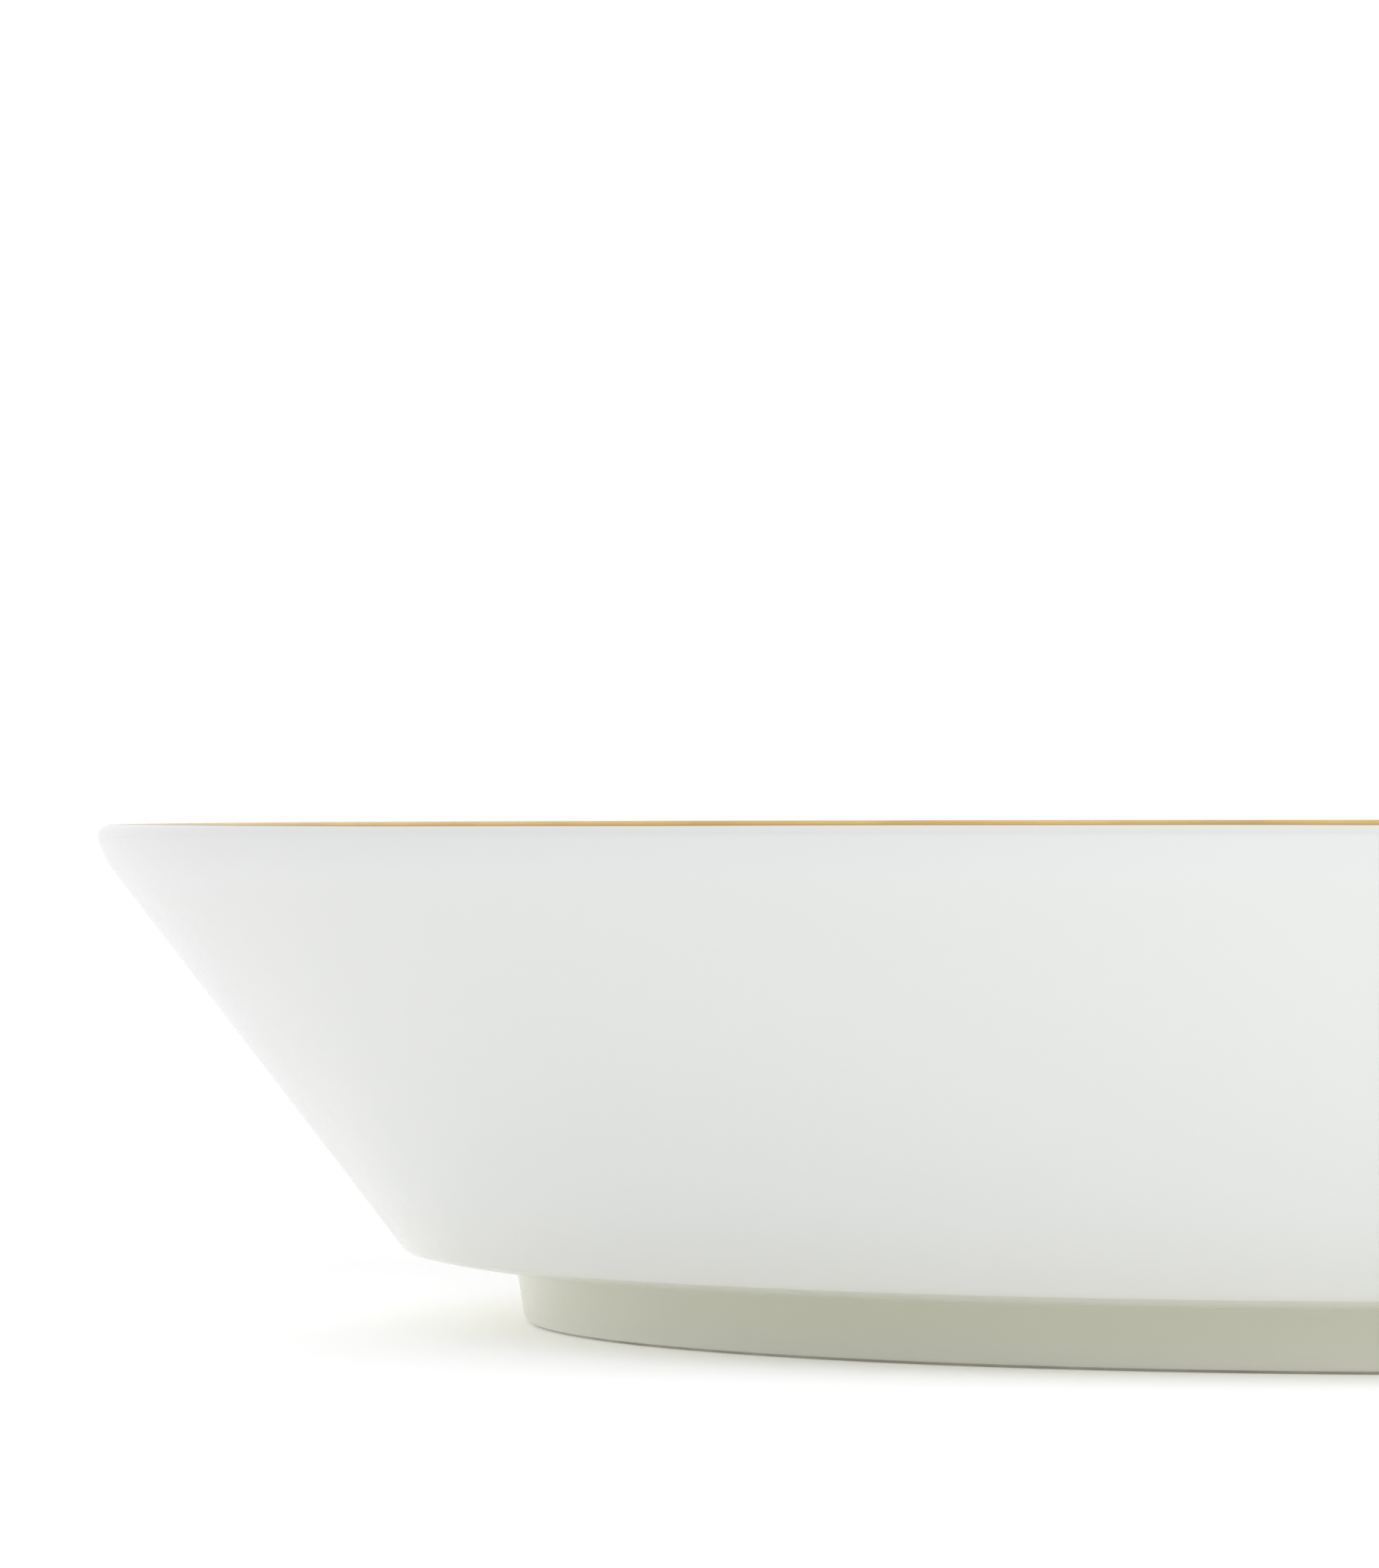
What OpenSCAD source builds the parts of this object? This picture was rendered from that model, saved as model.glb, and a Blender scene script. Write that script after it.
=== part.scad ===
// Footed porcelain serving bowl with a gilded lip.
// Every piece is a body of revolution about Z. The origin is on the table, under the
// middle of the bowl, and +Z points up out of its mouth.
// Each section is drawn to the right of the axis as [radius, height].

/* [Overall] */
// Diameter over the lip
rim_d = 280; // [240:1:360]
// Height from the table to the top of the lip
bowl_h = 53.9; // [40:0.1:80]

/* [Shell] */
// Thickness of the rounded lip
lip_t = 2.6; // [1.6:0.1:5]
// Radius of the upright band just under the lip, on the outside
band_r = 11; // [5:0.5:20]
// Slope at which the lip passes into that band, from upright
band_a = 17; // [5:1:20]
// Thickness of the wall where it reaches the shoulder, over both glazes
wall_t = 4.5; // [3:0.1:7]
// Thickness of the floor, over both glazes
floor_t = 5; // [3.5:0.1:8]
// Radius between the inside wall and the flat of the well
well_r = 14; // [5:0.5:25]
// Radius of the shoulder, where the wall turns under
shoulder_r = 1.8; // [0.8:0.1:5]
// Slope of the underside where it leaves the shoulder, from level
under_a = 13; // [8:0.5:20]
// How far the shoulder stands out past the foot ring
overhang = 11; // [5:0.5:16]

/* [Foot ring] */
// Diameter over the top of the foot ring
foot_d = 189.6; // [140:0.1:232]
// Height of the foot ring that shows, and depth of the recess inside it
foot_h = 6.5; // [5:0.1:12]
// Width of the foot ring at the table, before its edges are rounded
foot_t = 4.4; // [3.6:0.1:10]
// Taper of the outer side, from upright
foot_taper = 8.5; // [0:0.5:15]
// Draft of the inner side, from upright
foot_draft = 8.5; // [0:0.5:15]
// Rounding of the two bearing edges
foot_round = 1.4; // [0.8:0.1:2]
// Radius of the glaze pooled in the crease between ring and recess
crease_r = 2; // [0.8:0.1:3]

/* [Coats] */
// Thickness of the glaze coats and of the gilding
glaze_t = 0.3; // [0.2:0.05:0.5]
// Thickness of the slip joint between ring and shell
slip_t = 0.4; // [0.3:0.05:0.8]
// Where the glaze is wiped off the bearing edges, below level
wipe_a = 50; // [30:1:70]
// Where the gilding starts on the outside of the lip, above level
gilt_a = 42; // [20:1:70]
// How far the gilding runs down the inside wall
gilt_w = 1.2; // [0.6:0.1:4]

/* [Hidden] */

// Facets round the axis, and the angle of one step along an arc of a section
$fn = 180;
arc_step = 6;

// Lip: a full round, and the centre of the upright band's arc, which meets it smoothly
lip_r = lip_t / 2;
lip_c = [rim_d / 2 - lip_r, bowl_h - lip_r];
band_c = lip_c + (lip_r - band_r) * ray(-band_a);

// Underside: one arc that starts level at the ring and ends at the shoulder's own arc
foot_r = foot_d / 2;
under_r = overhang / sin(under_a) + shoulder_r;
under_c = [foot_r, foot_h + under_r];
shoulder_c = under_c + (under_r - shoulder_r) * ray(under_a - 90);

// Outer wall: the straight line that touches both the band's arc and the shoulder's arc
wall_v = band_c - shoulder_c;
wall_a = acos((shoulder_r - band_r) / norm(wall_v)) - atan2(wall_v[1], wall_v[0]);
wall_foot = shoulder_c + shoulder_r * ray(-wall_a);

// Inner wall: the line that touches the lip and passes wall_t inside the outer wall's end
inner_v = lip_c - wall_foot;
inner_a = atan2(inner_v[0], inner_v[1]) + asin((wall_t - lip_r) / norm(inner_v));
gilt_end = lip_c + lip_r * ray(180 - inner_a) - gilt_w * [sin(inner_a), cos(inner_a)];

// Well: its floor, and the centre of the arc that joins the floor to the inner wall
well_z = foot_h + floor_t;
well_c_z = well_z + well_r;
well_c_x = lip_c[0] + ((well_c_z - lip_c[1]) * sin(inner_a) - lip_r - well_r) / cos(inner_a);
well_c = [well_c_x, well_c_z];

// Foot ring: the shell's flat seat, the ring's top, and the centres of its bearing edges
seat_z = foot_h + glaze_t;
ring_top_z = seat_z - slip_t;
bearing_out_r = foot_r - foot_h * tan(foot_taper);
bearing_in_r = bearing_out_r - foot_t;
edge_out_c = [
    bearing_out_r + foot_round * (tan(foot_taper) - 1 / cos(foot_taper)),
    foot_round,
];
edge_in_c = [
    bearing_in_r - foot_round * (tan(foot_draft) - 1 / cos(foot_draft)),
    foot_round,
];
crease_z = foot_h - crease_r;
crease_c = [bearing_in_r - crease_z * tan(foot_draft) - crease_r / cos(foot_draft), crease_z];

// Fired colours: white body and glaze, warmer slip and bare foot, bright gold
glaze_colour = [0.91, 0.92, 0.90];
shell_colour = [0.90, 0.90, 0.87];
foot_colour = [0.80, 0.79, 0.71];
slip_colour = [0.74, 0.73, 0.66];
gilt_colour = [0.85, 0.68, 0.40];

// Unit vector at an angle from level
function ray(a) = [cos(a), sin(a)];

// Points along an arc about c, from angle a0 to angle a1, both ends included
function arc(c, r, a0, a1) =
    let (steps = max(1, ceil(abs(a1 - a0) / arc_step)))
    [for (i = [0:steps]) c + r * ray(a0 + (a1 - a0) * i / steps)];

function backwards(points) = [for (i = [len(points) - 1:-1:0]) points[i]];

// The functions below give the bowl's surface, or the surface lying inset below it.
// Neighbouring stretches both hold the point where they meet.

// Outside of the lip, from angle a down to the start of the straight wall
function lip_outside(a, inset) = concat(
    arc(lip_c, lip_r - inset, a, -band_a),
    arc(band_c, band_r - inset, -band_a, -wall_a)
);

// Shoulder and underside, from the end of the straight wall to the foot ring
function shoulder_and_underside(inset) = concat(
    arc(shoulder_c, shoulder_r - inset, -wall_a, under_a - 90),
    arc(under_c, under_r - inset, under_a - 90, -90)
);

// Inside wall and well, from the end of the gilding to the middle of the floor
function wall_and_well(inset) = concat(
    [gilt_end - inset * ray(180 - inner_a)],
    arc(well_c, well_r + inset, -inner_a, -90),
    [[0, well_z - inset]]
);

// Gilded part of the lip, from the outside over the top and down the inside wall
function gilded_lip(inset) = concat(
    arc(lip_c, lip_r - inset, gilt_a, 180 - inner_a),
    [gilt_end - inset * ray(180 - inner_a)]
);

// One point on the ring's outer or inner side, at height z
function ring_outer(z, inset) =
    [bearing_out_r + z * tan(foot_taper) - inset / cos(foot_taper), z];
function ring_inner(z, inset) =
    [bearing_in_r - z * tan(foot_draft) + inset / cos(foot_draft), z];

// Rounded edges of the ring, down to where the glaze is wiped off
function glazed_edge_out(inset) =
    arc(edge_out_c, foot_round - inset, -foot_taper, -wipe_a);
function glazed_edge_in(inset) =
    arc(edge_in_c, foot_round - inset, wipe_a - 180, foot_draft - 180);

module turned(section) {
    rotate_extrude() polygon(section);
}

// A coat of glaze or gold: the layer between the bowl's surface and the clay under it
module coat(surface, clay) {
    turned(concat(surface, backwards(clay)));
}

module foot_ring() {
    color(foot_colour) turned(concat(
        [ring_outer(ring_top_z, glaze_t)],
        glazed_edge_out(glaze_t),
        arc(edge_out_c, foot_round, -wipe_a, -90),
        arc(edge_in_c, foot_round, -90, wipe_a - 180),
        glazed_edge_in(glaze_t),
        [ring_inner(ring_top_z, glaze_t)]
    ));
}

module luting_slip() {
    color(slip_colour) turned([
        ring_outer(ring_top_z, glaze_t),
        ring_outer(seat_z, glaze_t),
        ring_inner(seat_z, glaze_t),
        ring_inner(ring_top_z, glaze_t),
    ]);
}

module bowl_shell() {
    color(shell_colour) turned(concat(
        [[0, seat_z]],
        backwards(shoulder_and_underside(glaze_t)),
        backwards(lip_outside(gilt_a, glaze_t)),
        gilded_lip(glaze_t),
        wall_and_well(glaze_t)
    ));
}

module base_glaze() {
    color(glaze_colour) coat(
        concat(
            [[0, foot_h]],
            arc(crease_c, crease_r, 90, foot_draft),
            backwards(glazed_edge_in(0))
        ),
        concat(
            [[0, seat_z], ring_inner(seat_z, glaze_t)],
            backwards(glazed_edge_in(glaze_t))
        )
    );
}

module outer_glaze() {
    color(glaze_colour) coat(
        concat(
            lip_outside(gilt_a, 0),
            shoulder_and_underside(0),
            glazed_edge_out(0)
        ),
        concat(
            lip_outside(gilt_a, glaze_t),
            shoulder_and_underside(glaze_t),
            [ring_outer(seat_z, glaze_t)],
            glazed_edge_out(glaze_t)
        )
    );
}

module inner_glaze() {
    color(glaze_colour) coat(wall_and_well(0), wall_and_well(glaze_t));
}

module rim_gilding() {
    color(gilt_colour) coat(gilded_lip(0), gilded_lip(glaze_t));
}

foot_ring();
luting_slip();
bowl_shell();
base_glaze();
outer_glaze();
inner_glaze();
rim_gilding();
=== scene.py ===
"""Footed porcelain serving bowl with a gilded lip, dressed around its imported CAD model.

Every piece is turned about Z. Its section, drawn as radius and height in millimetres, is a grid of
two parameters: the angle round the axis and the place along the section. The sizes that the CAD
model fixes are read from its boxes, and the others are fields of the classes.
"""

import logging
import math
from dataclasses import dataclass, field
from enum import Enum

import bpy
import numpy as np
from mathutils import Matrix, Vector


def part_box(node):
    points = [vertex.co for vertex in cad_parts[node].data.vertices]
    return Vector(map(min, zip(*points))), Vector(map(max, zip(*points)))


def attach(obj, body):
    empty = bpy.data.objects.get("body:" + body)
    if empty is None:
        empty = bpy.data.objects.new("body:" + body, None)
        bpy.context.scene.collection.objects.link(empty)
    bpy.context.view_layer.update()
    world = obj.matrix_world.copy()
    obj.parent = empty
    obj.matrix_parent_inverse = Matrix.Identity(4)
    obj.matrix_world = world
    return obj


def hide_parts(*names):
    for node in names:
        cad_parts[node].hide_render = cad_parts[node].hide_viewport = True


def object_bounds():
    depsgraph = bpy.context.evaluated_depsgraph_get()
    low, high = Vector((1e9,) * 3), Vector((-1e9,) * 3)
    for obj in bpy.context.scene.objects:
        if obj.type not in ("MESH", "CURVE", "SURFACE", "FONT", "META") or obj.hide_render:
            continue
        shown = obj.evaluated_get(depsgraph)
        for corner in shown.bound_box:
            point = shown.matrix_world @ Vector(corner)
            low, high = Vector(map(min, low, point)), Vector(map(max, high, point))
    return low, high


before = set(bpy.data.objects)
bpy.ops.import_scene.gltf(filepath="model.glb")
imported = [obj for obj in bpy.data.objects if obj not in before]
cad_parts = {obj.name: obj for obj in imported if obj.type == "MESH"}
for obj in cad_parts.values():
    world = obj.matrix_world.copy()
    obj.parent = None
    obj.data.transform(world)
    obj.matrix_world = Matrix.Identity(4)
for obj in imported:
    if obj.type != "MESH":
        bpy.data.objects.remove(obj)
CAD_BOX = [list(corner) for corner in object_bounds()]

LOG = logging.getLogger("bowl")
MM = 0.001
# Attribute of painted shade low on the bowl, partly glaze pooled in creases
POOL_AND_SHADE = "pool_and_shade"
# Attribute of the painted shade along the gold's outer edge
GILT_EDGE_SHADE = "edge"

# Facets round the axis, and their angles as a column so that they pair with a row of section points
FACETS = 360
AROUND = np.linspace(0.0, 2.0 * math.pi, FACETS, endpoint=False)[:, None]

# Millimetres: points nearer than this are one point, and a smaller radius is on the axis
SAME_MM = 1e-6
ON_AXIS_MM = 1e-9

# An edge that turns by more than this many degrees is shaded sharp
SHARP_A = 30.0

# A porcelain body's and a feldspar glaze's index of refraction
IOR = 1.5


class Slot(Enum):
    """Material slots of the record. The pieces here take their materials straight from their classes,
    not from these.
    """

    BARE = "bare_porcelain"
    SLIP = "slip"
    BODY = "porcelain_body"
    GLAZE = "clear_glaze"
    GOLD = "burnished_gold"


class Side(Enum):
    """The two sides of the foot ring."""

    OUTER = 1
    INNER = -1


# ---------------------------------------------------------------- sections


def ray(angle: float | np.ndarray) -> np.ndarray:
    """Unit vector, as [radius, height], at an angle in degrees above level."""
    turn = np.radians(angle)
    return np.stack([np.cos(turn), np.sin(turn)], axis=-1)


def arc(
    centre: np.ndarray,
    radius: float,
    first: float | np.ndarray,
    last: float | np.ndarray,
    step: float = 3.0,
) -> np.ndarray:
    """Points along an arc, both ends included.

    Formula in words: the centre, plus the radius times the unit vector at each angle, with the
    angles in even steps.

    Args:
        centre: Centre as [radius, height].
        radius: Radius of the arc.
        first: Angle of the first point in degrees, or a column with one angle for each facet.
        last: Angle of the last point in degrees, or a column with one angle for each facet.
        step: Largest angle between two points.

    Returns:
        The points, one row each, or one such array for each facet.
    """
    count = max(2, math.ceil(float(np.max(np.abs(np.subtract(last, first)))) / step) + 1)
    share = np.linspace(0.0, 1.0, count)
    return np.asarray(centre) + radius * ray(first + np.subtract(last, first) * share)


def line(start: np.ndarray, end: np.ndarray, spacing: float, crowd: float = 0.5) -> np.ndarray:
    """Points along a straight stretch, without its two ends.

    Formula in words: the start plus a share of the way to the end. The shares are even steps, and
    one more lies the crowding distance from each end, so that the shading stays true there.

    Args:
        start: First end as [radius, height], or one for each facet.
        end: Last end as [radius, height], or one for each facet.
        spacing: Largest gap between two points.
        crowd: Distance from each end to its nearest point.

    Returns:
        The points, one row each, or one such array for each facet.
    """
    way = np.subtract(end, start)
    length = float(np.mean(np.hypot(way[..., 0], way[..., 1])))
    steps = max(1, math.ceil(length / spacing))
    near = min(crowd, length / 4.0) / length
    share = np.unique(np.concatenate([np.arange(1, steps) / steps, [near, 1.0 - near]]))
    return np.asarray(start)[..., None, :] + share[:, None] * way[..., None, :]


def joined(*parts: np.ndarray) -> np.ndarray:
    """Carries stretches of section round the axis and joins them end to end.

    Formula in words: each stretch is repeated for every facet unless it already differs from facet
    to facet, and a point that repeats the one before it is dropped.

    Args:
        parts: Arrays of points, or of points for each facet.

    Returns:
        Grid of shape (facets, points, 2).
    """
    grids = [np.broadcast_to(part, (FACETS, *np.shape(part)[-2:])) for part in parts]
    grid = np.concatenate(grids, axis=1)
    gap = np.abs(np.diff(grid, axis=1)).max(axis=(0, 2))
    return grid[:, np.concatenate([[True], gap > SAME_MM])]


def waver(depth: float, waves: tuple[int, ...], lag: float) -> np.ndarray:
    """Slow, seamless wandering round the axis, as a column.

    Formula in words: the mean of sines with whole numbers of waves to the turn, each a little
    later than the last, times the depth.

    Args:
        depth: Largest value.
        waves: Waves to the turn of each sine.
        lag: Lag between one sine and the next, in radians.

    Returns:
        One value for each facet.
    """
    sines = [np.sin(count * AROUND + lag * count * count) for count in waves]
    return depth * np.mean(sines, axis=0)


@dataclass(frozen=True)
class Bowl:
    """The bowl's section: radius and height in millimetres, angles in degrees.

    The overall sizes come from the CAD nodes' boxes, and the fields are the sizes that no box gives.
    """

    lip_t: float = 2.6
    band_r: float = 11.0
    band_a: float = 17.0
    wall_t: float = 4.5
    well_r: float = 14.0
    shoulder_r: float = 1.8
    under_a: float = 13.0
    overhang: float = 11.0
    foot_t: float = 4.4
    foot_slope: float = 8.5
    foot_round: float = 1.4
    crease_r: float = 2.0
    glaze_t: float = 0.3
    slip_t: float = 0.4
    wipe_a: float = 50.0
    gilt_a: float = 42.0
    gilt_w: float = 1.2
    stray_a: float = 4.0
    wander_a: float = 2.0
    wander_w: float = 0.12
    thin_a: float = 35.0
    thin_at: float = 192.0
    thin_over: float = 20.0
    fillet_r: float = 0.6

    @property
    def rim_r(self) -> float:
        """Radius over the lip."""
        return CAD_BOX[1][0] / MM

    @property
    def bowl_h(self) -> float:
        """Height of the lip above the table."""
        return CAD_BOX[1][2] / MM

    @property
    def foot_h(self) -> float:
        """Height of the foot ring that shows under the shell."""
        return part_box("base_glaze")[1].z / MM - self.glaze_t

    @property
    def well_z(self) -> float:
        """Height of the well's floor above the table."""
        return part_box("inner_glaze")[0].z / MM + self.glaze_t

    @property
    def seat_z(self) -> float:
        """Height of the shell's flat seat."""
        return self.foot_h + self.glaze_t

    @property
    def ring_top_z(self) -> float:
        """Height of the top of the foot ring's clay."""
        return self.seat_z - self.slip_t

    @property
    def lip_r(self) -> float:
        """Radius of the full round at the lip."""
        return self.lip_t / 2.0

    @property
    def lip_c(self) -> np.ndarray:
        """Centre of the lip's round."""
        return np.array([self.rim_r - self.lip_r, self.bowl_h - self.lip_r])

    @property
    def band_c(self) -> np.ndarray:
        """Centre of the arc of the upright band under the lip."""
        return self.lip_c + (self.lip_r - self.band_r) * ray(-self.band_a)

    @property
    def foot_r(self) -> float:
        """Radius at which the ring's outer side meets the underside.

        Formula in words: the clay ring's own radius, plus the glaze over it, plus what the slope
        adds between its top and the underside.

        Returns:
            The radius.
        """
        slope = math.radians(self.foot_slope)
        clay_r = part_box("foot_ring")[1].x / MM
        hidden_h = self.foot_h - self.ring_top_z
        return clay_r + self.glaze_t / math.cos(slope) + hidden_h * math.tan(slope)

    @property
    def under_r(self) -> float:
        """Radius of the arc of the underside."""
        return self.overhang / math.sin(math.radians(self.under_a)) + self.shoulder_r

    @property
    def under_c(self) -> np.ndarray:
        """Centre of the arc of the underside."""
        return np.array([self.foot_r, self.foot_h + self.under_r])

    @property
    def shoulder_c(self) -> np.ndarray:
        """Centre of the shoulder's arc."""
        return self.under_c + (self.under_r - self.shoulder_r) * ray(self.under_a - 90.0)

    @property
    def wall_a(self) -> float:
        """Slope of the outer wall: the line that touches the band's arc and the shoulder's.

        Returns:
            The angle in degrees from upright.
        """
        across, up = self.band_c - self.shoulder_c
        gap = (self.shoulder_r - self.band_r) / math.hypot(across, up)
        return math.degrees(math.acos(gap) - math.atan2(up, across))

    @property
    def inner_a(self) -> float:
        """Slope of the inner wall: the line that touches the lip and leaves the wall its thickness.

        Returns:
            The angle in degrees from upright.
        """
        across, up = self.lip_c - self.shoulder_c - self.shoulder_r * ray(-self.wall_a)
        gap = (self.wall_t - self.lip_r) / math.hypot(across, up)
        return math.degrees(math.atan2(across, up) + math.asin(gap))

    @property
    def well_c(self) -> np.ndarray:
        """Centre of the arc between the inner wall and the well.

        Returns:
            The centre as [radius, height].
        """
        slope = math.radians(self.inner_a)
        height = self.well_z + self.well_r
        drop = (height - self.lip_c[1]) * math.sin(slope)
        radius = self.lip_c[0] + (drop - self.lip_r - self.well_r) / math.cos(slope)
        return np.array([radius, height])

    def ring_side(self, side: Side, height: float, inset: float) -> np.ndarray:
        """Point on a side of the ring.

        Args:
            side: Side of the ring.
            height: Height of the point.
            inset: Depth below the surface.

        Returns:
            The point as [radius, height].
        """
        slope = math.radians(self.foot_slope)
        middle_r = self.foot_r - self.foot_h * math.tan(slope) - self.foot_t / 2.0
        half = self.foot_t / 2.0 + height * math.tan(slope) - inset / math.cos(slope)
        return np.array([middle_r + side.value * half, height])

    def edge_c(self, side: Side) -> np.ndarray:
        """Centre of one of the ring's two rounded bearing edges."""
        return self.ring_side(side, self.foot_round, self.foot_round)

    def gilt_edge(self) -> np.ndarray:
        """Angle on the lip where the gilding starts, as a column.

        Formula in words: the gilding's own angle, less the stray of the brush below it, plus the
        brush's slow wandering, plus a bell curve round the axis where the brush was set down and
        lifted, and the line is thinner.

        Returns:
            One angle in degrees for each facet.
        """
        away = (np.degrees(AROUND) - self.thin_at) / self.thin_over
        wander = waver(self.wander_a, (3, 7, 11, 23), 0.8) - self.stray_a
        return self.gilt_a + wander + self.thin_a * np.exp(-away * away)

    def gilt_end(self, inset: float) -> np.ndarray:
        """Where the gilding ends on the inner wall.

        Args:
            inset: Depth below the surface.

        Returns:
            One point for each facet.
        """
        width = self.gilt_w + waver(self.wander_w, (2, 5, 9, 19), 1.3)
        touch = self.lip_c + (self.lip_r - inset) * ray(180.0 - self.inner_a)
        return touch - width * ray(90.0 - self.inner_a)

    def lip_outside(self, inset: float) -> np.ndarray:
        """Lip and upright band, from the gilding's edge down to the straight wall.

        Args:
            inset: Depth below the surface.

        Returns:
            Grid of the stretch.
        """
        return joined(
            arc(self.lip_c, self.lip_r - inset, self.gilt_edge(), -self.band_a),
            arc(self.band_c, self.band_r - inset, -self.band_a, -self.wall_a, step=1.0),
        )

    def wall(self, inset: float) -> np.ndarray:
        """Straight outer wall, without its ends.

        Args:
            inset: Depth below the surface.

        Returns:
            The points, one row each.
        """
        return line(
            self.band_c + (self.band_r - inset) * ray(-self.wall_a),
            self.shoulder_c + (self.shoulder_r - inset) * ray(-self.wall_a),
            spacing=2.0,
        )

    def underside(self, inset: float, last: float = -90.0) -> np.ndarray:
        """Shoulder and underside, from the straight wall to the ring or an angle short of it.

        Args:
            inset: Depth below the surface.
            last: Angle on the underside's arc at which it stops.

        Returns:
            Grid of the stretch.
        """
        turn = self.under_a - 90.0
        return joined(
            arc(self.shoulder_c, self.shoulder_r - inset, -self.wall_a, turn),
            arc(self.under_c, self.under_r - inset, turn, last, step=0.7),
        )

    def inside(self, inset: float) -> np.ndarray:
        """Inner wall and well, from the gilding's end to the middle.

        Args:
            inset: Depth below the surface.

        Returns:
            Grid of the stretch.
        """
        start = self.gilt_end(inset)
        bend = arc(self.well_c, self.well_r + inset, -self.inner_a, -90.0, step=2.0)
        middle = np.array([0.0, self.well_z - inset])
        return joined(
            start[:, None, :],
            line(start, np.broadcast_to(bend[0], start.shape), spacing=2.0),
            bend,
            line(bend[-1], middle, spacing=4.0),
            middle[None],
        )

    def gilded_lip(self, inset: float) -> np.ndarray:
        """Lip from the gilding's outer edge over the top and down the inner wall.

        Args:
            inset: Depth below the surface.

        Returns:
            Grid of the stretch.
        """
        start = self.lip_c + (self.lip_r - inset) * ray(180.0 - self.inner_a)
        end = self.gilt_end(inset)
        return joined(
            arc(
                self.lip_c, self.lip_r - inset, self.gilt_edge(), 180.0 - self.inner_a, step=4.0
            ),
            line(np.broadcast_to(start, end.shape), end, spacing=0.4, crowd=0.15),
            end[:, None, :],
        )

    def glazed_edge(self, side: Side, inset: float) -> np.ndarray:
        """Ring's bearing edge, from its side down to where the glaze is wiped off.

        Args:
            side: Side of the ring.
            inset: Depth below the surface.

        Returns:
            The points, one row each.
        """
        first, last = -self.foot_slope, -self.wipe_a
        if side is Side.INNER:
            first, last = -180.0 - first, -180.0 - last
        return arc(self.edge_c(side), self.foot_round - inset, first, last, step=5.0)


# ---------------------------------------------------------------- meshes


@dataclass(frozen=True)
class Firing:
    """How the ware moved in the kiln: a fraction of a millimetre, always inwards and downwards."""

    rim_r: float
    bowl_h: float
    oval: float = 0.05
    sag: float = 0.04

    def warped(self, grid: np.ndarray) -> np.ndarray:
        """Warps a section, every piece by the same rule, so that neighbours still touch.

        Formula in words: the radius shrinks by the ovalness times the height's share of the bowl,
        and the height by the sag times the radius's share, each as a slow wave round the axis.

        Args:
            grid: Section grid of shape (facets, points, 2).

        Returns:
            The warped grid.
        """
        radius, height = grid[..., 0], grid[..., 1]
        pinch = self.oval * (0.5 + waver(0.5, (2, 3), 0.9)) * height / self.bowl_h
        drop = self.sag * (0.5 + waver(0.5, (3, 4), 2.1)) * radius / self.rim_r
        on_axis = radius < ON_AXIS_MM
        return np.stack(
            [np.where(on_axis, 0.0, radius - pinch), height * (1.0 - drop / self.bowl_h)], axis=-1
        )


def turned(
    name: str, grid: np.ndarray, layer_name: str = "", values: np.ndarray | None = None
) -> bpy.types.Object:
    """Makes a closed mesh from a section grid.

    Formula in words: each section point is carried to radius times cosine, radius times sine and
    height. Four neighbouring points make a face, the points on the axis are one pole closed with
    triangles, and the section runs anticlockwise, so that the faces point outwards.

    Args:
        name: Name of the piece.
        grid: Section grid of shape (facets, points, 2) in millimetres.
        layer_name: Name of the attribute that the material reads, if it reads one.
        values: That attribute's value at each section point, or None.

    Returns:
        The new object, linked to the scene.
    """
    mean_r, mean_z = grid[..., 0].mean(axis=0), grid[..., 1].mean(axis=0)
    if np.sum(mean_r * np.roll(mean_z, -1) - np.roll(mean_r, -1) * mean_z) < 0.0:
        grid, mean_r = grid[:, ::-1], mean_r[::-1]
        values = None if values is None else values[::-1]

    radius, height = grid[..., 0], grid[..., 1]
    points = np.stack([radius * np.cos(AROUND), radius * np.sin(AROUND), height], axis=-1)
    pole = mean_r < ON_AXIS_MM
    off = int(np.sum(~pole))
    index = np.arange(FACETS)[:, None] * off + np.cumsum(~pole) - 1
    index = np.where(pole, FACETS * off + np.cumsum(pole) - 1, index)
    ahead = np.roll(index, -1, axis=0)
    corners = np.stack(
        [index, ahead, np.roll(ahead, -1, axis=1), np.roll(index, -1, axis=1)], axis=-1
    )
    next_pole = np.roll(pole, -1)
    faces = corners[:, ~pole & ~next_pole].reshape(-1, 4).tolist()
    faces += corners[:, ~pole & next_pole][..., [0, 1, 2]].reshape(-1, 3).tolist()
    faces += corners[:, pole & ~next_pole][..., [0, 2, 3]].reshape(-1, 3).tolist()

    mesh = bpy.data.meshes.new(name)
    vertices = np.concatenate([points[:, ~pole].reshape(-1, 3), points[0, pole]]) * MM
    mesh.from_pydata(vertices, [], faces)
    mesh.shade_smooth()
    mesh.set_sharp_from_angle(angle=math.radians(SHARP_A))
    if values is not None:
        spread = np.concatenate([np.tile(values[~pole], FACETS), values[pole]])
        layer = mesh.attributes.new(layer_name, "FLOAT", "POINT")
        layer.data.foreach_set("value", spread.astype(np.float32))
    piece = bpy.data.objects.new(name, mesh)
    bpy.context.scene.collection.objects.link(piece)
    return piece


# ---------------------------------------------------------------- finishes


def colour(code: str) -> tuple[float, float, float, float]:
    """Turns an sRGB hex colour into the linear colour that a shader takes.

    Formula in words: each channel, as a share of 255, is divided by 12.92 when it is small, and
    otherwise raised to the power 2.4 after adding 0.055 and dividing by 1.055.

    Args:
        code: Colour such as "#EDEEEA".

    Returns:
        Red, green and blue in linear light, and an alpha of 1.
    """
    share = np.array([int(code[place : place + 2], 16) for place in (1, 3, 5)]) / 255.0
    linear = np.where(share <= 0.04045, share / 12.92, ((share + 0.055) / 1.055) ** 2.4)
    return (*linear.tolist(), 1.0)


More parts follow.
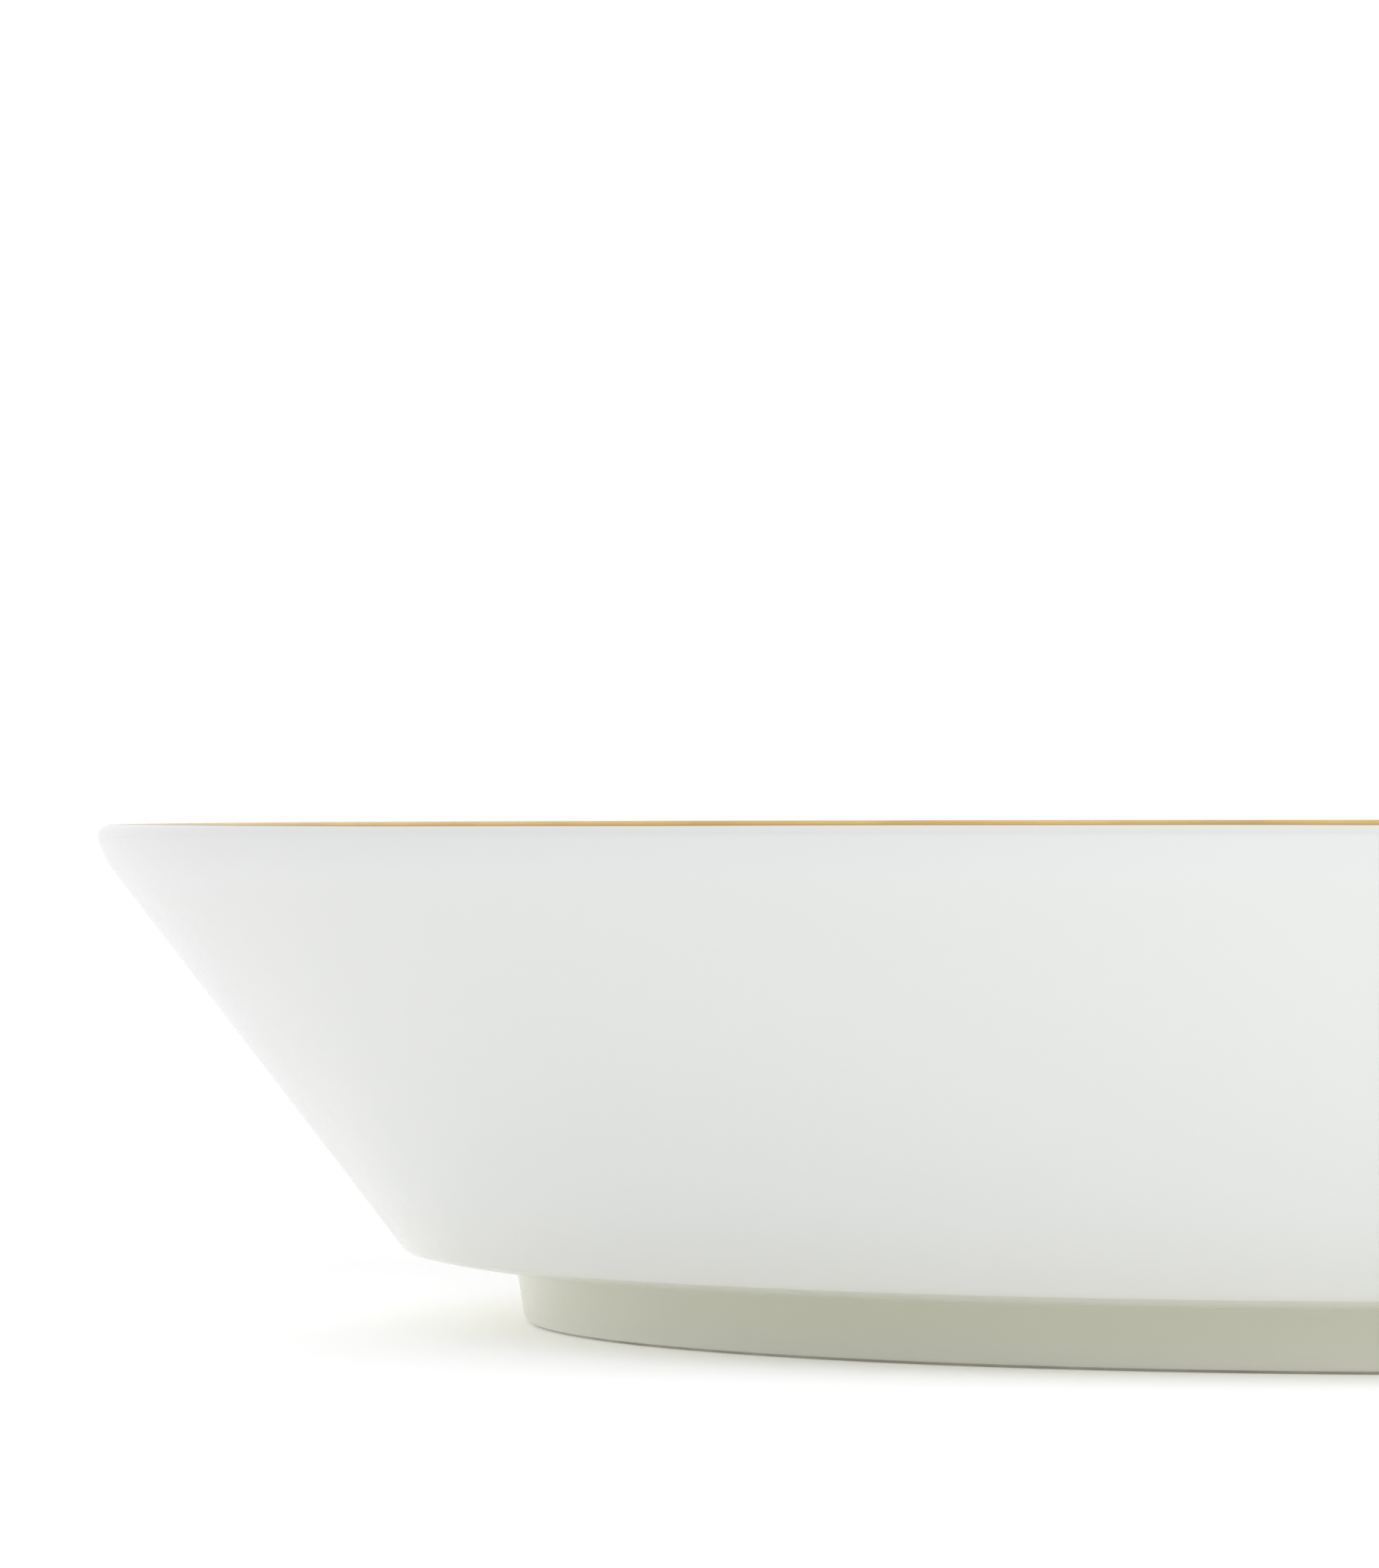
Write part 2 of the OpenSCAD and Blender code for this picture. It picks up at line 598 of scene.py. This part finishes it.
def add_node(
    tree: bpy.types.NodeTree,
    kind: str,
    inputs: dict[str | int, object] | None = None,
    **settings: object,
) -> bpy.types.Node:
    """Adds a node, sets it and feeds its inputs.

    Args:
        tree: Tree that takes the node.
        kind: Type of the node.
        inputs: Value or output socket for each input, by the input's name or number.
        settings: Settings of the node itself.

    Returns:
        The new node.
    """
    node = tree.nodes.new(kind)
    for name, value in settings.items():
        setattr(node, name, value)
    for key, value in (inputs or {}).items():
        if isinstance(value, bpy.types.NodeSocket):
            tree.links.new(value, node.inputs[key])
        else:
            node.inputs[key].default_value = value
    return node


def new_material(name: str) -> tuple[bpy.types.Material, bpy.types.NodeTree]:
    """Makes an empty node material.

    Args:
        name: Name of the material.

    Returns:
        The material and its node tree.
    """
    material = bpy.data.materials.new(name)
    material.use_nodes = True
    material.node_tree.nodes.clear()
    return material, material.node_tree


def surface(tree: bpy.types.NodeTree, inputs: dict[str | int, object]) -> None:
    """Ends a material with a Principled shader that has these inputs."""
    shader = add_node(tree, "ShaderNodeBsdfPrincipled", inputs)
    add_node(tree, "ShaderNodeOutputMaterial", {"Surface": shader.outputs["BSDF"]})


@dataclass(frozen=True)
class ClearGlaze:
    """Feldspar glaze over white porcelain, dipped and fired to a gloss.

    It gives a clean cool white with a soft mirror over it. A darker grey-green cream is painted shade
    low on the bowl, on the foot ring and the underside, and partly the glaze's iron where it pools in
    a crease; where it draws thin over an edge the white of the body comes through. Its skin is
    faintly dimpled, like orange peel.
    """

    name: str = "clear_feldspar_glaze_fired_gloss"
    thin: str = "#E5E6E5"
    # Darker grey-green cream: painted shade low on the bowl, partly glaze pooled in creases
    pool_and_shade_cream: str = "#DDDDCD"
    cloud: str = "#E3E5E4"
    roughness: float = 0.20
    gloss_spread: float = 0.25
    dimple_mm: float = 3.5
    dimple_depth_mm: float = 0.003
    cloud_mm: float = 45.0

    def material(self) -> bpy.types.Material:
        """Builds the glaze: colour by painted shade, glaze pools and slow clouds, roughness and
        dimples by noise.

        Returns:
            The material.
        """
        material, tree = new_material(self.name)
        place = add_node(tree, "ShaderNodeTexCoord").outputs["Object"]
        # Painted shade low on the bowl, partly glaze pooled in creases, as the mesh stores it
        pool_and_shade = add_node(tree, "ShaderNodeAttribute", attribute_name=POOL_AND_SHADE).outputs["Fac"]

        clouds = add_node(
            tree,
            "ShaderNodeTexNoise",
            {"Vector": place, "Scale": 1.0 / (self.cloud_mm * MM), "Detail": 2.0, "Roughness": 0.5},
        )
        white = add_node(
            tree,
            "ShaderNodeMix",
            {0: clouds.outputs["Fac"], 6: colour(self.thin), 7: colour(self.cloud)},
            data_type="RGBA",
        )
        shade = add_node(
            tree,
            "ShaderNodeMix",
            {0: pool_and_shade, 6: white.outputs[2], 7: colour(self.pool_and_shade_cream)},
            data_type="RGBA",
        )

        dimples = add_node(
            tree,
            "ShaderNodeTexNoise",
            {"Vector": place, "Scale": 1.0 / (self.dimple_mm * MM), "Detail": 1.5, "Roughness": 0.4},
        )
        skin = add_node(
            tree,
            "ShaderNodeBump",
            {
                "Strength": 1.0,
                "Distance": self.dimple_depth_mm * MM,
                "Height": dimples.outputs["Fac"],
            },
        )
        gloss = add_node(
            tree,
            "ShaderNodeMapRange",
            {
                "Value": dimples.outputs["Fac"],
                "To Min": self.roughness * (1.0 - self.gloss_spread),
                "To Max": self.roughness * (1.0 + self.gloss_spread),
            },
        )
        surface(
            tree,
            {
                "Base Color": shade.outputs[2],
                "Roughness": gloss.outputs["Result"],
                "IOR": IOR,
                "Normal": skin.outputs["Normal"],
            },
        )
        return material


@dataclass(frozen=True)
class BurnishedGold:
    """Liquid gold banded on with a brush, fired, then burnished with agate.

    It gives a warm satin metal with fine streaks that go round the lip. The film is thinner where
    the brush was lifting, and looks browner there. Along its outer edge a darker line is painted
    shade.
    """

    name: str = "burnished_gold_banded_by_brush"
    bright: str = "#DEBB70"
    worn: str = "#C3A05B"
    # Painted shade: the darker line along the gold's outer edge
    edge_shade: str = "#AC935A"
    roughness: float = 0.24
    smooth_share: float = 0.7
    rough_share: float = 1.4
    streak_mm: float = 0.25
    streak_depth_mm: float = 0.002
    patch_mm: float = 14.0
    patch_range: tuple[float, float] = (0.35, 0.75)

    def material(self) -> bpy.types.Material:
        """Builds the gold: streaks that follow radius and height, and slow patches of the brush.

        Returns:
            The material.
        """
        material, tree = new_material(self.name)
        place = add_node(tree, "ShaderNodeTexCoord").outputs["Object"]
        parts = add_node(tree, "ShaderNodeSeparateXYZ", {"Vector": place})
        level = add_node(
            tree,
            "ShaderNodeCombineXYZ",
            {"X": parts.outputs["X"], "Y": parts.outputs["Y"]},
        )
        radius = add_node(
            tree, "ShaderNodeVectorMath", {0: level.outputs["Vector"]}, operation="LENGTH"
        )
        patches = add_node(
            tree,
            "ShaderNodeTexNoise",
            {"Vector": place, "Scale": 1.0 / (self.patch_mm * MM), "Detail": 3.0, "Roughness": 0.6},
        )
        drift = add_node(
            tree,
            "ShaderNodeMath",
            {0: patches.outputs["Fac"], 1: 2.0 * self.streak_mm * MM},
            operation="MULTIPLY",
        )
        across = add_node(
            tree,
            "ShaderNodeCombineXYZ",
            {
                "X": radius.outputs["Value"],
                "Y": parts.outputs["Z"],
                "Z": drift.outputs["Value"],
            },
        )
        streaks = add_node(
            tree,
            "ShaderNodeTexNoise",
            {
                "Vector": across.outputs["Vector"],
                "Scale": 1.0 / (self.streak_mm * MM),
                "Detail": 3.0,
                "Roughness": 0.55,
            },
        )
        film = add_node(
            tree,
            "ShaderNodeMapRange",
            {
                "Value": patches.outputs["Fac"],
                "From Min": self.patch_range[0],
                "From Max": self.patch_range[1],
            },
        )
        tone = add_node(
            tree,
            "ShaderNodeMix",
            {0: film.outputs["Result"], 6: colour(self.bright), 7: colour(self.worn)},
            data_type="RGBA",
        )
        # Painted shade along the gold's outer edge, read from the mesh
        edge = add_node(tree, "ShaderNodeAttribute", attribute_name=GILT_EDGE_SHADE).outputs["Fac"]
        edge_shaded = add_node(
            tree,
            "ShaderNodeMix",
            {0: edge, 6: tone.outputs[2], 7: colour(self.edge_shade)},
            data_type="RGBA",
        )
        gloss = add_node(
            tree,
            "ShaderNodeMapRange",
            {
                "Value": streaks.outputs["Fac"],
                "To Min": self.roughness * self.smooth_share,
                "To Max": self.roughness * self.rough_share,
            },
        )
        grooves = add_node(
            tree,
            "ShaderNodeBump",
            {
                "Strength": 1.0,
                "Distance": self.streak_depth_mm * MM,
                "Height": streaks.outputs["Fac"],
            },
        )
        surface(
            tree,
            {
                "Base Color": edge_shaded.outputs[2],
                "Metallic": 1.0,
                "Roughness": gloss.outputs["Result"],
                "Normal": grooves.outputs["Normal"],
            },
        )
        return material


@dataclass(frozen=True)
class FiredClay:
    """Porcelain or slip without glaze, as it leaves the kiln.

    It gives a dry, slightly warm white with a fine sugary grain. Slow patches of it are rubbed and
    hold a little grey. On the foot ring both colours are set dark as painted shade: the contact
    shadow where the bearing edge stands on the table.
    """

    name: str
    clean: str
    rubbed: str
    roughness: float = 0.6
    gloss_spread: float = 0.15
    grain_mm: float = 0.35
    grain_depth_mm: float = 0.01
    rub_mm: float = 9.0
    rub_range: tuple[float, float] = (0.4, 0.7)

    def material(self) -> bpy.types.Material:
        """Builds the clay: a fine grain in the bump, and slow rubbed patches in the colour.

        Returns:
            The material.
        """
        material, tree = new_material(self.name)
        place = add_node(tree, "ShaderNodeTexCoord").outputs["Object"]
        grain = add_node(
            tree,
            "ShaderNodeTexNoise",
            {"Vector": place, "Scale": 1.0 / (self.grain_mm * MM), "Detail": 4.0, "Roughness": 0.6},
        )
        rubs = add_node(
            tree,
            "ShaderNodeTexNoise",
            {"Vector": place, "Scale": 1.0 / (self.rub_mm * MM), "Detail": 3.0, "Roughness": 0.6},
        )
        rub = add_node(
            tree,
            "ShaderNodeMapRange",
            {
                "Value": rubs.outputs["Fac"],
                "From Min": self.rub_range[0],
                "From Max": self.rub_range[1],
            },
        )
        tone = add_node(
            tree,
            "ShaderNodeMix",
            {0: rub.outputs["Result"], 6: colour(self.clean), 7: colour(self.rubbed)},
            data_type="RGBA",
        )
        dryness = add_node(
            tree,
            "ShaderNodeMapRange",
            {
                "Value": grain.outputs["Fac"],
                "To Min": self.roughness * (1.0 - self.gloss_spread),
                "To Max": self.roughness * (1.0 + self.gloss_spread),
            },
        )
        tooth = add_node(
            tree,
            "ShaderNodeBump",
            {
                "Strength": 1.0,
                "Distance": self.grain_depth_mm * MM,
                "Height": grain.outputs["Fac"],
            },
        )
        surface(
            tree,
            {
                "Base Color": tone.outputs[2],
                "Roughness": dryness.outputs["Result"],
                "IOR": IOR,
                "Normal": tooth.outputs["Normal"],
            },
        )
        return material


# ---------------------------------------------------------------- sub-assemblies


def settle(piece: bpy.types.Object, material: bpy.types.Material, node: str) -> None:
    """Dresses a finished piece and says which CAD node it stands for.

    Args:
        piece: The finished piece.
        material: Its material.
        node: CAD node that it replaces.
    """
    piece.data.materials.append(material)
    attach(piece, "root")
    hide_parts(node)
    LOG.info("%s: %d faces for %s", piece.name, len(piece.data.polygons), node)


@dataclass(frozen=True)
class ClayParts:
    """The fired clay: foot ring, slip joint and shell."""

    bowl: Bowl
    firing: Firing
    # The ring's colours are set dark as painted shade, the contact shadow along its bearing edge; the
    # patches vary it at random
    bare: FiredClay = FiredClay("bare_porcelain_ground_flat_painted_contact_shade", "#B9B5A6", "#A29D8E", 0.5)
    slip: FiredClay = FiredClay("casting_slip_fired", "#D9D6C8", "#CFCCBE", 0.7)
    body: FiredClay = FiredClay("porcelain_body_cast_and_fired", "#E9E8E2", "#E2E1DA", 0.6)

    def ring(self) -> bpy.types.Object:
        """Foot ring: glazed sides under their coats, and the bare bearing edge between them.

        Returns:
            The new object.
        """
        bowl, top = self.bowl, self.bowl.ring_top_z
        bearing = [bowl.edge_c(side) - [0.0, bowl.foot_round] for side in Side]
        section = joined(
            bowl.ring_side(Side.OUTER, top, bowl.glaze_t)[None],
            bowl.glazed_edge(Side.OUTER, bowl.glaze_t),
            arc(bowl.edge_c(Side.OUTER), bowl.foot_round, -bowl.wipe_a, -90.0, step=4.0),
            line(bearing[0], bearing[1], spacing=0.5),
            arc(bowl.edge_c(Side.INNER), bowl.foot_round, -90.0, bowl.wipe_a - 180.0, step=4.0),
            bowl.glazed_edge(Side.INNER, bowl.glaze_t)[::-1],
            bowl.ring_side(Side.INNER, top, bowl.glaze_t)[None],
        )
        return turned("bearing_ring", self.firing.warped(section))

    def joint(self) -> bpy.types.Object:
        """Slip joint: a flat washer between the ring and the shell's seat.

        Returns:
            The new object.
        """
        bowl = self.bowl
        low, high, inset = bowl.ring_top_z, bowl.seat_z, bowl.glaze_t
        section = joined(
            bowl.ring_side(Side.OUTER, low, inset)[None],
            bowl.ring_side(Side.OUTER, high, inset)[None],
            bowl.ring_side(Side.INNER, high, inset)[None],
            bowl.ring_side(Side.INNER, low, inset)[None],
        )
        return turned("slip_joint", self.firing.warped(section))

    def shell(self) -> bpy.types.Object:
        """Shell: floor, shoulder, wall and lip, all under their coats.

        Returns:
            The new object.
        """
        bowl, inset = self.bowl, self.bowl.glaze_t
        section = joined(
            bowl.inside(inset)[:, ::-1],
            bowl.gilded_lip(inset)[:, ::-1],
            bowl.lip_outside(inset),
            bowl.wall(inset),
            bowl.underside(inset),
            np.array([[0.0, bowl.seat_z]]),
        )
        return turned("porcelain_core", self.firing.warped(section))

    def build(self) -> None:
        """Makes and dresses the three clay pieces."""
        settle(self.ring(), self.bare.material(), "foot_ring")
        settle(self.joint(), self.slip.material(), "luting_slip")
        settle(self.shell(), self.body.material(), "bowl_shell")


@dataclass(frozen=True)
class GlazeCoats:
    """The three coats of clear glaze, each a layer that hugs the clay under it."""

    bowl: Bowl
    firing: Firing
    glaze: ClearGlaze = field(default_factory=ClearGlaze)
    film: float = 0.05
    pull: float = 0.35
    # Painted shade low on the bowl: strength of the darker cream at and below the foot ring's top
    low_shade: float = 0.9
    spread_mm: float = 1.6
    pull_mm: float = 4.0
    # Length over which the painted shade fades, above the foot ring and into the recess's ceiling
    low_shade_mm: float = 2.8

    def pool_and_shade(self, surface_grid: np.ndarray, facing: float) -> np.ndarray:
        """How much glaze lies along a surface, from 0 over an edge to 1 in a crease, with painted
        shade added low down.

        Formula in words: the turning of the section at each point is spread along the surface by a
        bell curve, which gives a smooth curvature. The pull is its hyperbolic tangent, so a crease
        gathers glaze and an edge draws it thin. It is added to the even film and to painted shade,
        which stands for the shade under the bowl and dies away above the ring.

        Args:
            surface_grid: Grid of the glazed surface.
            facing: 1 if air is on the right of the section as it runs, and -1 if on the left.

        Returns:
            One value for each section point.
        """
        mean = surface_grid.mean(axis=0)
        step = np.diff(mean, axis=0)
        heading = np.unwrap(np.arctan2(step[:, 1], step[:, 0]))
        turning = facing * np.concatenate([[0.0], np.diff(heading), [0.0]])
        along = np.concatenate([[0.0], np.cumsum(np.hypot(step[:, 0], step[:, 1]))])
        gap = (along[:, None] - along) / self.spread_mm
        bell = np.exp(-0.5 * gap * gap) / (self.spread_mm * math.sqrt(2.0 * math.pi))
        pulled = self.pull * np.tanh(self.pull_mm * bell @ turning)
        # Painted shade: darker cream near and below the top of the foot ring, standing for the shade
        # under the bowl
        above = np.maximum(mean[:, 1] - self.bowl.foot_h, 0.0)
        return np.clip(self.film + pulled + self.low_shade * np.exp(-above / self.low_shade_mm), 0.0, 1.0)

    def coat(
        self, name: str, surface_grid: np.ndarray, clay: np.ndarray, pool_and_shade: np.ndarray
    ) -> bpy.types.Object:
        """Makes a coat between a surface and the clay under it.

        Args:
            name: Name of the piece.
            surface_grid: Grid of the glazed surface.
            clay: Grid of the clay, running the same way.
            pool_and_shade: Glaze pools and painted shade at each point of the surface.

        Returns:
            The new object.
        """
        section = joined(surface_grid, clay[:, ::-1])
        values = np.concatenate([pool_and_shade, np.zeros(section.shape[1] - pool_and_shade.size)])
        return turned(name, self.firing.warped(section), POOL_AND_SHADE, values)

    def outer(self) -> bpy.types.Object:
        """Outer coat: lip, wall, shoulder, underside and ring, with a fillet in the crease.

        Returns:
            The new object.
        """
        bowl, radius = self.bowl, self.bowl.fillet_r
        centre = bowl.ring_side(Side.OUTER, bowl.foot_h - radius, -radius)
        fillet = arc(centre, radius, 90.0, 180.0 - bowl.foot_slope, step=6.0)
        edge = bowl.glazed_edge(Side.OUTER, 0.0)
        stop = -90.0 + math.degrees((centre[0] - bowl.foot_r) / bowl.under_r)
        glazed = joined(
            bowl.lip_outside(0.0),
            bowl.wall(0.0),
            bowl.underside(0.0, stop),
            fillet,
            line(fillet[-1], edge[0], spacing=0.8),
            edge,
        )
        clay = joined(
            bowl.lip_outside(bowl.glaze_t),
            bowl.wall(bowl.glaze_t),
            bowl.underside(bowl.glaze_t),
            bowl.ring_side(Side.OUTER, bowl.seat_z, bowl.glaze_t)[None],
            bowl.glazed_edge(Side.OUTER, bowl.glaze_t),
        )
        return self.coat("glazed_wall", glazed, clay, self.pool_and_shade(glazed, 1.0))

    def inner(self) -> bpy.types.Object:
        """Inner coat: inside wall and well.

        Returns:
            The new object.
        """
        glazed = self.bowl.inside(0.0)
        clay = self.bowl.inside(self.bowl.glaze_t)
        return self.coat("glazed_well", glazed, clay, self.pool_and_shade(glazed, -1.0))

    def base(self) -> bpy.types.Object:
        """Base coat: ceiling of the recess, the pooled crease and the ring's inner side.

        Formula in words: the ceiling is white, and its glaze pools and painted shade die away inwards
        from the crease.

        Returns:
            The new object.
        """
        bowl = self.bowl
        low = bowl.ring_side(Side.INNER, bowl.foot_h - bowl.crease_r, -bowl.crease_r)
        bend = arc(low, bowl.crease_r, 90.0, bowl.foot_slope, step=6.0)
        middle = np.array([0.0, bowl.foot_h])
        edge = bowl.glazed_edge(Side.INNER, 0.0)
        glazed = joined(
            middle[None],
            line(middle, bend[0], spacing=4.0),
            bend,
            line(bend[-1], edge[0], spacing=0.8),
            edge,
        )
        clay = joined(
            np.array([[0.0, bowl.seat_z]]),
            bowl.ring_side(Side.INNER, bowl.seat_z, bowl.glaze_t)[None],
            bowl.glazed_edge(Side.INNER, bowl.glaze_t),
        )
        inwards = np.maximum(bend[0, 0] - glazed[0, :, 0], 0.0)
        # Painted shade on the ring's inner side and the crease, fading into the ceiling
        pool_and_shade = self.pool_and_shade(glazed, -1.0) * np.exp(-inwards / self.low_shade_mm)
        return self.coat("glazed_base", glazed, clay, pool_and_shade)

    def build(self) -> None:
        """Makes the three coats, all in one glaze."""
        material = self.glaze.material()
        settle(self.outer(), material, "outer_glaze")
        settle(self.inner(), material, "inner_glaze")
        settle(self.base(), material, "base_glaze")


@dataclass(frozen=True)
class Gilding:
    """The gold line over the lip."""

    bowl: Bowl
    firing: Firing
    gold: BurnishedGold = field(default_factory=BurnishedGold)
    # Width of the painted shade along the gold's outer edge
    edge_shade_mm: float = 0.10

    def build(self) -> None:
        """Makes the film of gold and dresses it.

        Formula in words: the painted shade is strongest at the film's outer edge and dies away by a
        bell curve of the distance along the surface.
        """
        film = self.bowl.gilded_lip(0.0)
        section = joined(film, self.bowl.gilded_lip(self.bowl.glaze_t)[:, ::-1])
        step = np.diff(film.mean(axis=0), axis=0)
        along = np.concatenate([[0.0], np.cumsum(np.hypot(step[:, 0], step[:, 1]))])
        # Painted shade: darkest at the film's outer edge
        edge_shade = np.zeros(section.shape[1])
        edge_shade[: along.size] = np.exp(-0.5 * (along / self.edge_shade_mm) ** 2)
        piece = turned("gilt_line", self.firing.warped(section), GILT_EDGE_SHADE, edge_shade)
        settle(piece, self.gold.material(), "rim_gilding")


# ---------------------------------------------------------------- studio


@dataclass(frozen=True)
class Glow:
    """A soft patch of extra light in the table: its centre and radius in metres, and its strength."""

    x: float
    y: float
    radius: float
    strength: float


@dataclass(frozen=True)
class Studio:
    """Glowing white table, soft white surroundings, one softbox and the camera.

    Angles are in degrees. A bearing is counted from +X towards +Y.
    """

    floor_rings: tuple[float, ...] = (0.3, 1.0, 3.0, 9.0)
    floor_skip: int = 4
    floor_white: str = "#F7F7F7"
    floor_glow: float = 0.09
    lamps_below: tuple[Glow, ...] = (Glow(-0.10, 0.01, 0.12, 0.18), Glow(0.05, -0.15, 0.34, 0.16))
    surround: float = 1.04
    shade: float = 0.92
    shade_bearing: float = 261.0
    shade_top: float = 0.7
    softbox_watts: float = 4.8
    softbox_size: float = 1.1
    softbox_away: float = 1.6
    softbox_bearing: float = 312.0
    softbox_up: float = 14.0
    camera_back: float = 0.88568
    camera_h: float = 0.05041
    tilt_up: float = 0.5178
    turn_left: float = 4.9193
    lens_mm: float = 186.06
    sensor_mm: float = 36.0
    sight: tuple[float, float] = (0.05, 50.0)

    def floor(self) -> None:
        """Lays the floor: a wide disc of matt white, lit from below in soft patches.

        Formula in words: the glow is the floor's own, plus for each lamp below it a strength that
        falls smoothly from the patch's centre to nothing at its radius.
        """
        angle = AROUND[:: self.floor_skip, 0]
        rings = np.array(self.floor_rings)[:, None]
        count = angle.size
        rim = np.stack([rings * np.cos(angle), rings * np.sin(angle), 0.0 * rings * angle], axis=-1)
        points = np.concatenate([[[0.0, 0.0, 0.0]], rim.reshape(-1, 3)])
        here, ahead = np.arange(count), np.roll(np.arange(count), -1)
        faces = np.stack([np.zeros(count, int), 1 + here, 1 + ahead], axis=-1).tolist()
        for ring in range(rings.size - 1):
            low, high = 1 + ring * count, 1 + (ring + 1) * count
            faces += np.stack([low + here, high + here, high + ahead, low + ahead], axis=-1).tolist()
        mesh = bpy.data.meshes.new("floor")
        mesh.from_pydata(points, [], faces)
        floor = bpy.data.objects.new("floor", mesh)
        bpy.context.scene.collection.objects.link(floor)
        material, tree = new_material("matt_white_acrylic_lit_from_below")
        place = add_node(tree, "ShaderNodeTexCoord").outputs["Object"]
        glow = self.floor_glow
        for lamp in self.lamps_below:
            away = add_node(
                tree,
                "ShaderNodeVectorMath",
                {0: place, 1: (lamp.x, lamp.y, 0.0)},
                operation="DISTANCE",
            )
            patch = add_node(
                tree,
                "ShaderNodeMapRange",
                {
                    "Value": away.outputs["Value"],
                    "From Max": lamp.radius,
                    "To Min": lamp.strength,
                    "To Max": 0.0,
                },
                interpolation_type="SMOOTHSTEP",
            )
            total = add_node(tree, "ShaderNodeMath", {0: patch.outputs["Result"], 1: glow})
            glow = total.outputs["Value"]
        surface(
            tree,
            {
                "Base Color": colour(self.floor_white),
                "Roughness": 1.0,
                "Specular IOR Level": 0.0,
                "Emission Color": (1.0, 1.0, 1.0, 1.0),
                "Emission Strength": glow,
            },
        )
        mesh.materials.append(material)

    def surroundings(self) -> None:
        """Lights the scene from white surroundings, which are darker low down on one side.

        Formula in words: the strength is the surroundings' own, less the shade times how squarely
        a direction faces the shaded side, times how low it is.
        """
        world = bpy.data.worlds.new("white_surroundings")
        world.use_nodes = True
        tree = world.node_tree
        tree.nodes.clear()
        place = add_node(tree, "ShaderNodeTexCoord").outputs["Generated"]
        turn = math.radians(self.shade_bearing)
        facing = add_node(
            tree,
            "ShaderNodeVectorMath",
            {0: place, 1: (math.cos(turn), math.sin(turn), 0.0)},
            operation="DOT_PRODUCT",
        )
        toward = add_node(
            tree, "ShaderNodeMath", {0: facing.outputs["Value"], 1: 0.0}, operation="MAXIMUM"
        )
        height = add_node(tree, "ShaderNodeSeparateXYZ", {"Vector": place})
        low = add_node(
            tree,
            "ShaderNodeMapRange",
            {"Value": height.outputs["Z"], "From Max": self.shade_top, "To Min": 1.0, "To Max": 0.0},
        )
        dark = add_node(
            tree,
            "ShaderNodeMath",
            {0: toward.outputs["Value"], 1: low.outputs["Result"]},
            operation="MULTIPLY",
        )
        strength = add_node(
            tree,
            "ShaderNodeMath",
            {0: dark.outputs["Value"], 1: -self.shade, 2: self.surround},
            operation="MULTIPLY_ADD",
        )
        sky = add_node(tree, "ShaderNodeBackground", {"Strength": strength.outputs["Value"]})
        sky.inputs["Color"].default_value = (1.0, 1.0, 1.0, 1.0)
        add_node(tree, "ShaderNodeOutputWorld", {"Surface": sky.outputs["Background"]})
        bpy.context.scene.world = world

    def softbox(self) -> None:
        """Hangs one large softbox, facing the bowl and out of sight of the camera."""
        lamp = bpy.data.lights.new("softbox", "AREA")
        lamp.size, lamp.energy = self.softbox_size, self.softbox_watts
        light = bpy.data.objects.new("softbox", lamp)
        level = math.radians(self.softbox_up)
        turn = math.radians(self.softbox_bearing)
        away = Vector(
            (math.cos(turn) * math.cos(level), math.sin(turn) * math.cos(level), math.sin(level))
        )
        light.location = self.softbox_away * away
        light.rotation_euler = away.to_track_quat("Z", "Y").to_euler()
        light.visible_camera = False
        bpy.context.scene.collection.objects.link(light)

    def camera(self) -> None:
        """Sets the camera a little below the lip's height, close to level."""
        lens = bpy.data.cameras.new("camera")
        lens.lens = self.lens_mm
        lens.sensor_width = self.sensor_mm
        lens.clip_start, lens.clip_end = self.sight
        camera = bpy.data.objects.new("camera", lens)
        camera.location = (0.0, -self.camera_back, self.camera_h)
        camera.rotation_euler = (
            math.radians(90.0 + self.tilt_up),
            0.0,
            math.radians(self.turn_left),
        )
        bpy.context.scene.collection.objects.link(camera)
        bpy.context.scene.camera = camera

    def build(self) -> None:
        """Sets up the studio with colours shown as they are."""
        self.floor()
        self.surroundings()
        self.softbox()
        self.camera()
        bpy.context.scene.view_settings.view_transform = "Standard"


def main() -> None:
    """Builds the bowl from the table up, then the studio."""
    logging.basicConfig(level=logging.INFO, format="%(name)s: %(message)s")
    bowl = Bowl()
    firing = Firing(bowl.rim_r, bowl.bowl_h)
    ClayParts(bowl, firing).build()
    GlazeCoats(bowl, firing).build()
    Gilding(bowl, firing).build()
    Studio().build()


if __name__ == "__main__":
    main()
